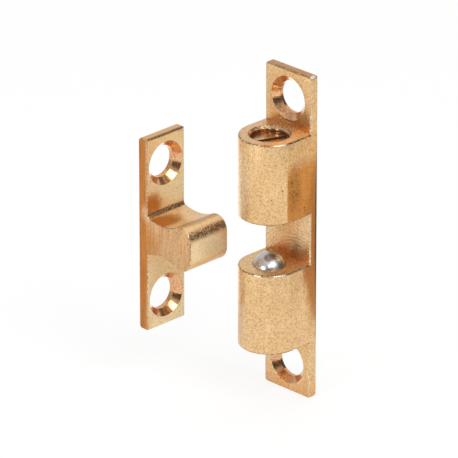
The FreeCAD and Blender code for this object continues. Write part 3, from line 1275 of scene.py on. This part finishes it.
@dataclass
class Plungers:
    """Ball, spring and adjusting screw of each bore."""

    bore_setback: float = 5.1
    ball_radius: float = 2.5
    ball_height: float = 4.6274
    wire_radius: float = 0.225
    coil_radius: float = 1.8
    coil_turns: float = 4.5
    coil_steps: int = 24
    closed_turns: float = 0.75
    closed_pitch: float = 0.5
    spring_foot: float = 6.7048
    spring_head: float = 12.1
    spring_split: float = 10.4
    split_gap: float = 0.15
    screw_foot: float = 12.35
    screw_length: float = 3.0
    screw_radius: float = 2.95
    screw_chamfer: float = 0.3
    thread_foot: float = 0.1
    slot_width: float = 0.9
    slot_depth: float = 1.1
    slot_turn: float = 68.0
    thread: Thread = Thread()

    def ball(self) -> Workpiece:
        """Return the upper ball, forged round from a cube."""
        reach = Vector((1, 1, 1)) * self.ball_radius * MM
        ball = Workpiece.block("upper_ball_steel", -reach, reach)
        ball.pick(Element.POINT)
        bpy.ops.mesh.subdivide(number_cuts=31)
        bpy.ops.transform.tosphere(value=1.0)
        ball.put_down()
        ball.hold()
        forged = max(ball.shape.dimensions) / 2
        ball.pick(Element.POINT)
        bpy.ops.transform.resize(value=reach / forged)
        ball.move(mm(0, -self.bore_setback, self.ball_height))
        ball.smooth(60)
        return ball

    def coil_heights(self, count: int) -> Iterable[float]:
        """Yield the wire's height at even steps, with closed turns at both ends.

        Args:
            count: How many steps.
        """
        closed = self.closed_turns * self.closed_pitch
        span_left = self.spring_head - self.spring_foot - 2 * closed
        for step in range(count + 1):
            turns = self.coil_turns * step / count
            left = self.coil_turns - turns
            if turns < self.closed_turns:
                yield self.spring_foot + turns * self.closed_pitch
            elif left < self.closed_turns:
                yield self.spring_head - left * self.closed_pitch
            else:
                share = (turns - self.closed_turns) / (self.coil_turns - 2 * self.closed_turns)
                yield self.spring_foot + closed + share * span_left

    def coil(self, name: str, points: Sequence[Vector]) -> Workpiece:
        """Bend round wire through points.

        Args:
            name: The piece's name.
            points: The points in order.

        Returns:
            The wire, with closed ends.
        """
        Workpiece.drawn(name, points).hold()
        bpy.ops.object.convert(target="CURVE")
        wire = bpy.context.active_object.data
        wire.bevel_depth = self.wire_radius * MM
        wire.bevel_resolution = 2
        wire.use_fill_caps = True
        bpy.ops.object.convert(target="MESH")
        coil = Workpiece(name)
        coil.mend()
        coil.smooth(60)
        return coil

    def spring(self) -> tuple[Workpiece, Workpiece]:
        """Return the upper spring in two lengths, with a small gap between them.

        Returns:
            The length on the ball and the length on the screw.
        """
        count = round(self.coil_turns * self.coil_steps)
        points = []
        for step, height in enumerate(self.coil_heights(count)):
            angle = FULL_TURN * self.coil_turns * step / count
            across = self.coil_radius * math.cos(angle)
            out = self.coil_radius * math.sin(angle)
            points.append(mm(across, out - self.bore_setback, height))
        split = sum(point.z < self.spring_split * MM for point in points)
        far = points[split:]
        far[0] = far[0].lerp(far[1], self.split_gap)
        near = self.coil("upper_spring_wire", points[: split + 1])
        return near, self.coil("upper_spring_far_wire", far)

    def screw(self) -> Workpiece:
        """Return the upper adjusting screw: threaded, chamfered and slotted."""
        thread, foot = self.thread, self.screw_foot
        top = foot + self.screw_length
        root, crest = self.screw_radius - thread.root_gap, thread.crest - thread.play
        low, length = mm(0, 0, foot - OVERRUN / 2), self.screw_length + OVERRUN
        screw = Workpiece.rod("upper_screw_brass", root, low, length, thread.steps)
        turns = range(3, 9)
        ridge = thread.ridge(self.screw_radius, root - self.thread_foot, crest, turns)
        screw.combine(ridge, Combine.ADD)
        rim, side = self.screw_radius - self.screw_chamfer, self.screw_radius + NEAR
        blank = [
            (0, foot),
            (rim, foot),
            (side, foot + self.screw_chamfer),
            (side, top - self.screw_chamfer),
            (rim, top),
            (0, top),
        ]
        limits = Workpiece.turned("limits", blank, Vector(), Axis.Z, thread.steps)
        screw.combine(limits, Combine.KEEP_SHARED)
        reach, half = 2 * self.screw_radius, self.slot_width / 2
        low, high = mm(-reach, -half, top - self.slot_depth), mm(reach, half, top + OVERRUN)
        slot = Workpiece.block("slot", low, high, math.radians(self.slot_turn))
        screw.combine(slot, Combine.CUT)
        screw.move(mm(0, -self.bore_setback, 0))
        screw.mend()
        screw.smooth()
        return screw

    def make(self) -> None:
        """Build and dress both sets, and mount their balls and screws."""
        steel = SteelFinish("polished_steel").material()
        wire = SteelFinish("drawn_wire", colour=(0.42, 0.41, 0.39), haze=0.15).material()
        finishes = (steel, wire, wire, SCREW.material())
        upper = (self.ball(), *self.spring(), self.screw())
        lower = tuple(piece.turned_over() for piece in upper)
        for end, side, pieces in (("upper", 1, upper), ("lower", -1, lower)):
            for piece, finish in zip(pieces, finishes):
                piece.dress(finish)
            ball, near, far, screw = pieces
            ball.mount(f"{end}_ball", "ball_steel")
            screw.mount(f"{end}_adjusting_screw", "screw_brass")
            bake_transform(near.shape)
            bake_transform(far.shape)
            for coil in (near, far):
                coil.stand_for(f"{end}_spring", "spring_steel")


@dataclass
class Strike:
    """Brass plate with a waisted tongue, sawn off a drawn section."""

    length: float = 29.7
    width: float = 7.4
    plate_depth: float = 1.7
    back_radius: float = 0.5
    front_radius: float = 0.2
    edge_break: float = 0.12
    neck_half: float = 2.4
    neck_distance: float = 4.4
    groove_radius: float = 7.0
    root_radius: float = 0.6
    crest_half: float = 3.35
    nose_radius: float = 2.0
    hole_margin: float = 4.55
    back_x: float = -14.57
    middle_y: float = -13.15
    countersink: Countersink = Countersink()

    @property
    def hole_height(self) -> float:
        """Height of the upper screw hole."""
        return self.length / 2 - self.hole_margin

    def arcs(self) -> list[tuple[float, float, float, float, float, int]]:
        """Return the upper half's arcs from the back: centre, radius, two angles and steps."""
        half = self.length / 2
        groove_z = self.neck_half + self.groove_radius
        nose_z = self.crest_half - self.nose_radius
        reach = self.groove_radius + self.nose_radius
        nose_x = self.neck_distance + math.sqrt(reach**2 - (groove_z - nose_z) ** 2)
        root_x = self.plate_depth + self.root_radius
        inner = self.groove_radius - self.root_radius
        root_z = groove_z - math.sqrt(inner**2 - (self.neck_distance - root_x) ** 2)
        start = math.atan2(root_z - groove_z, root_x - self.neck_distance)
        end = math.atan2(nose_z - groove_z, nose_x - self.neck_distance)
        quarter = math.pi / 2
        back, front = self.back_radius, self.front_radius
        return [
            (back, half - back, back, 2 * quarter, quarter, 8),
            (self.plate_depth - front, half - front, front, quarter, 0, 4),
            (root_x, root_z, self.root_radius, -2 * quarter, start, 8),
            (self.neck_distance, groove_z, self.groove_radius, start, end, 28),
            (nose_x, nose_z, self.nose_radius, end + math.pi, 0, 16),
        ]

    def profile(self) -> list[Vector]:
        """Return the section's points, all the way round."""
        upper = []
        for x, z, radius, first, last, steps in self.arcs():
            for step in range(steps + 1):
                angle = first + (last - first) * step / steps
                point = (x + radius * math.cos(angle), z + radius * math.sin(angle))
                if not upper or math.dist(upper[-1], point) > CLOSE:
                    upper.append(point)
        both = upper + [(x, -z) for x, z in reversed(upper)]
        front = self.middle_y - self.width / 2
        return [mm(self.back_x + x, front, z) for x, z in both]

    def build(self) -> Workpiece:
        """Return the strike, sawn off and countersunk."""
        strike = Workpiece.drawn("strike_brass", self.profile(), filled=True)
        strike.pick(Element.FACE)
        reach = mm(0, self.width, 0)
        bpy.ops.mesh.extrude_region_move(TRANSFORM_OT_translate={"value": reach})
        strike.mend()
        strike.bevel(lambda edge: span(edge, 1) < CLOSE, self.edge_break, 2)
        for height in (-self.hole_height, self.hole_height):
            centre = mm(self.back_x, self.middle_y, height)
            self.countersink.cut(strike, self.plate_depth, centre, Axis.X)
        strike.smooth()
        return strike

    def in_hole(self, face: Facet) -> bool:
        """Say whether a face belongs to a screw hole."""
        off_axis = math.hypot(face.y - self.middle_y, face.height - self.hole_height)
        inside = CLOSE < face.x - self.back_x < self.plate_depth - CLOSE
        return inside and off_axis < self.countersink.rim_radius

    def painted_dark_bands(self) -> tuple[Patch, ...]:
        """Return bands of painted shade and dark reflection along the top edge, the upper nose and
        the upper root.
        """
        dark = (0.11, 0.055, 0.03)
        front = self.back_x + self.plate_depth
        nose_x, nose_z, radius, *_ = self.arcs()[-1]
        top = (front - 0.05, self.middle_y, self.length / 2)
        nose = (self.back_x + nose_x + 0.85 * radius, self.middle_y, nose_z + 0.52 * radius)
        root = (front + 0.1, self.middle_y, self.neck_half + 0.65)
        return (
            Patch(top, (0.3, 8, 0.3), 0.9, 0.3, dark, 0.4),
            Patch(nose, (0.8, 14, 1.3), 1.0, 0.9, dark, 0.45),
            Patch(root, (0.44, 8, 0.54), 1.0, 0.5, dark, 0.45),
        )

    def make(self) -> None:
        """Build, dress and mount the strike."""
        strike = self.build()
        drawn = replace(DRAWN, stains_and_painted_light=DRAWN.stains_and_painted_light + self.painted_dark_bands())
        for finish, wanted in (
            (drawn, lambda face: True),
            (SAWN, lambda face: face.looks_along(1)),
            # Broken edges of the sawn sides: a dark line of painted shade with speckled painted
            # glints.
            (STRIKE_EDGE_SHADE_AND_GLINTS, lambda face: face.leans(1)),
            (TURNED_STRIKE, self.in_hole),
        ):
            strike.dress(finish.material(), wanted)
        strike.mount("strike", "strike_brass")


def hang(name: str, data: bpy.types.ID, place: Vector, back: Vector) -> bpy.types.Object:
    """Put a lamp or a camera into the scene.

    Args:
        name: Its name.
        data: The lamp or the camera.
        place: Where it is.
        back: Direction that its back is turned to.

    Returns:
        Its object.
    """
    hung = bpy.data.objects.new(name, data)
    bpy.context.scene.collection.objects.link(hung)
    hung.location = place
    hung.rotation_euler = back.to_track_quat("Z", "Y").to_euler()
    return hung


@dataclass(frozen=True)
class Lamp:
    """A square soft lamp that looks at the catch, with its sizes in metres."""

    name: str
    towards: Triple
    size: float
    power: float
    distance: float = 0.60

    def make(self) -> None:
        """Hang the lamp."""
        data = bpy.data.lights.new(self.name, "AREA")
        data.shape = "SQUARE"
        data.size = self.size
        data.energy = self.power
        direction = Vector(self.towards).normalized()
        hang(self.name, data, direction * self.distance, direction)


@dataclass(frozen=True)
class Shade:
    """A round part of the room that is darker or brighter than the rest."""

    towards: Triple
    core: float
    fade: float
    level: float

    def over(self, graph: Graph, direction: Socket, level: Socket) -> Socket:
        """Lay the shade over the room.

        Args:
            graph: The room's node tree.
            direction: Where a ray goes.
            level: How bright the room is there so far.

        Returns:
            How bright it is with the shade.
        """
        match = graph.vector("DOT_PRODUCT", direction, Vector(self.towards).normalized())
        edge, core = math.cos(math.radians(self.fade)), math.cos(math.radians(self.core))
        share = graph.scaled(match, edge, core)
        return graph.sum_of(share, graph.math("SUBTRACT", self.level, level), level)


@dataclass
class Studio:
    """Pale floor whose glow holds painted reflections for metal, soft light and the camera."""

    floor_size: float = 4.0
    floor_height: float = -25.0
    aim: Triple = (-6.63, -6.63, -0.10)
    azimuth: float = 45.0
    elevation: float = 23.85
    distance: float = 858.7
    lens: float = 471.6
    sensor: float = 36.0
    glow: float = 0.7
    # Where the floor's glow, as metal reflects it, brightens towards the camera and goes dark far
    # off to the camera's right, in millimetres: painted reflection.
    near_fade: tuple[float, float] = (30.0, 140.0)
    far_fade: tuple[float, float] = (200.0, 330.0)
    right: Triple = (0.707, 0.707, 0.0)
    forward: Triple = (0.707, -0.707, 0.0)
    # Patches of painted reflection in the floor's glow, which only metal shows: a brown one behind
    # and to the right of the catch, a darker one straight behind, and a bright one behind and to
    # the left.
    painted_reflections: tuple[Patch, ...] = (
        Patch((44.0, 44.0, 0.0), (26.0, 26.0, 60.0), 0.7, 0.25, (0.50, 0.28, 0.13)),
        Patch((0.0, 60.0, 0.0), (30.0, 34.0, 60.0), 0.9, 0.25, (0.30, 0.15, 0.08)),
        Patch((-60.0, 40.0, 0.0), (60.0, 60.0, 60.0), 1.0, 0.3, (1.80, 1.80, 1.80)),
    )
    shades: tuple[Shade, ...] = (
        Shade((0.66, 0.65, 0.37), 24.0, 36.0, 0.06),
        Shade((0.65, -0.74, 0.05), 14.0, 34.0, 0.04),
        Shade((-0.65, -0.65, 0.40), 16.0, 40.0, 0.50),
    )
    lamps: tuple[Lamp, ...] = (
        Lamp("key_lamp", (0.70, -0.10, 0.70), 0.30, 1.0),
        Lamp("rim_lamp", (0.57, -0.57, 0.59), 0.12, 0.30),
        Lamp("front_lamp", (0.02, -0.97, 0.25), 0.16, 0.7),
    )

    def camera(self) -> None:
        """Set up the camera at the photograph's place."""
        data = bpy.data.cameras.new("camera")
        data.sensor_width = self.sensor
        data.lens = self.lens
        turn, rise = math.radians(self.azimuth), math.radians(self.elevation)
        level = math.cos(rise)
        back = Vector((math.sin(turn) * level, -math.cos(turn) * level, math.sin(rise)))
        place = mm(*self.aim) + back * self.distance * MM
        bpy.context.scene.camera = hang("camera", data, place, back)

    def painted_reflection_glow(self, graph: Graph) -> Socket:
        """Make the floor's glow, with the painted reflections that metal sees in it.

        Args:
            graph: The floor's node tree.

        Returns:
            White for camera rays; for other rays, painted reflections further off.
        """
        at = graph.place()
        right = graph.vector("DOT_PRODUCT", at, self.right)
        near = graph.vector("DOT_PRODUCT", at, self.forward)
        near = graph.scaled(near, *(edge * MM for edge in self.near_fade))
        colour = graph.blend(near, (1.05, 1.05, 1.05), (1.15, 1.15, 1.15))
        far = graph.scaled(right, *(edge * MM for edge in self.far_fade))
        colour = graph.blend(far, colour, (0.10, 0.09, 0.08))
        for reflection_patch in self.painted_reflections:
            colour = reflection_patch.over(graph, at, colour)
        camera = graph.add("LightPath").outputs["Is Camera Ray"]
        return graph.blend(camera, colour, (1.12, 1.12, 1.12))

    def floor(self) -> None:
        """Lay the floor, which looks nearly white, keeps a soft shadow, and glows with painted
        reflections that only metal shows.
        """
        Workpiece.clear_bench()
        low = mm(0, 0, self.floor_height)
        bpy.ops.mesh.primitive_plane_add(size=self.floor_size, location=low)
        sheet = Workpiece("pale_floor")
        made = bpy.data.materials.new("pale_floor")
        graph = Graph.emptied(made)
        mottle = graph.noise(graph.place(), 9.0, 3.0)
        colour = graph.blend(mottle, (0.80, 0.80, 0.80), (0.84, 0.84, 0.84))
        matt = graph.add("BsdfDiffuse", {"Color": colour})
        white = graph.add("Emission", {"Color": self.painted_reflection_glow(graph), "Strength": 1.0})
        path = graph.add("LightPath").outputs
        shiny = graph.math("MAXIMUM", path["Is Glossy Ray"], path["Is Transmission Ray"])
        share = graph.times(graph.math("MAXIMUM", path["Is Camera Ray"], shiny), self.glow)
        mixed = graph.add("MixShader", {0: share, 1: matt.outputs[0], 2: white.outputs[0]})
        graph.add("OutputMaterial", {"Surface": mixed.outputs[0]})
        sheet.dress(made)

    def surroundings(self) -> None:
        """Light the room: white, and darker low down on the camera's side."""
        world = bpy.data.worlds.new("studio")
        bpy.context.scene.world = world
        graph = Graph.emptied(world)
        direction = graph.add("TexCoord").outputs["Generated"]
        forward = graph.vector("DOT_PRODUCT", direction, self.forward)
        up = graph.vector("DOT_PRODUCT", direction, Axis.Z.value)
        dim = graph.times(graph.scaled(up, 0.75, 0.45), graph.scaled(forward, -0.1, 0.4))
        level = graph.scaled(dim, 0.0, 1.0, 0.82, 0.42)
        for shade in self.shades:
            level = shade.over(graph, direction, level)
        camera = graph.add("LightPath").outputs["Is Camera Ray"]
        strength = graph.math("MAXIMUM", level, camera)
        sky = graph.add("Background", {"Color": (1.0, 1.0, 1.0), "Strength": strength})
        graph.add("OutputWorld", {"Surface": sky.outputs[0]})

    def make(self) -> None:
        """Set everything up."""
        self.camera()
        self.floor()
        self.surroundings()
        for lamp in self.lamps:
            lamp.make()


def main() -> None:
    """Build the studio and every piece of the catch."""
    logging.basicConfig(level=logging.INFO, format="%(name)s: %(message)s")
    bpy.context.scene.view_settings.view_transform = "Standard"
    for part in (Studio(), CatchBody(), Plungers(), Strike()):
        part.make()
        LOG.info("%s is done", type(part).__name__)


if __name__ == "__main__":
    main()
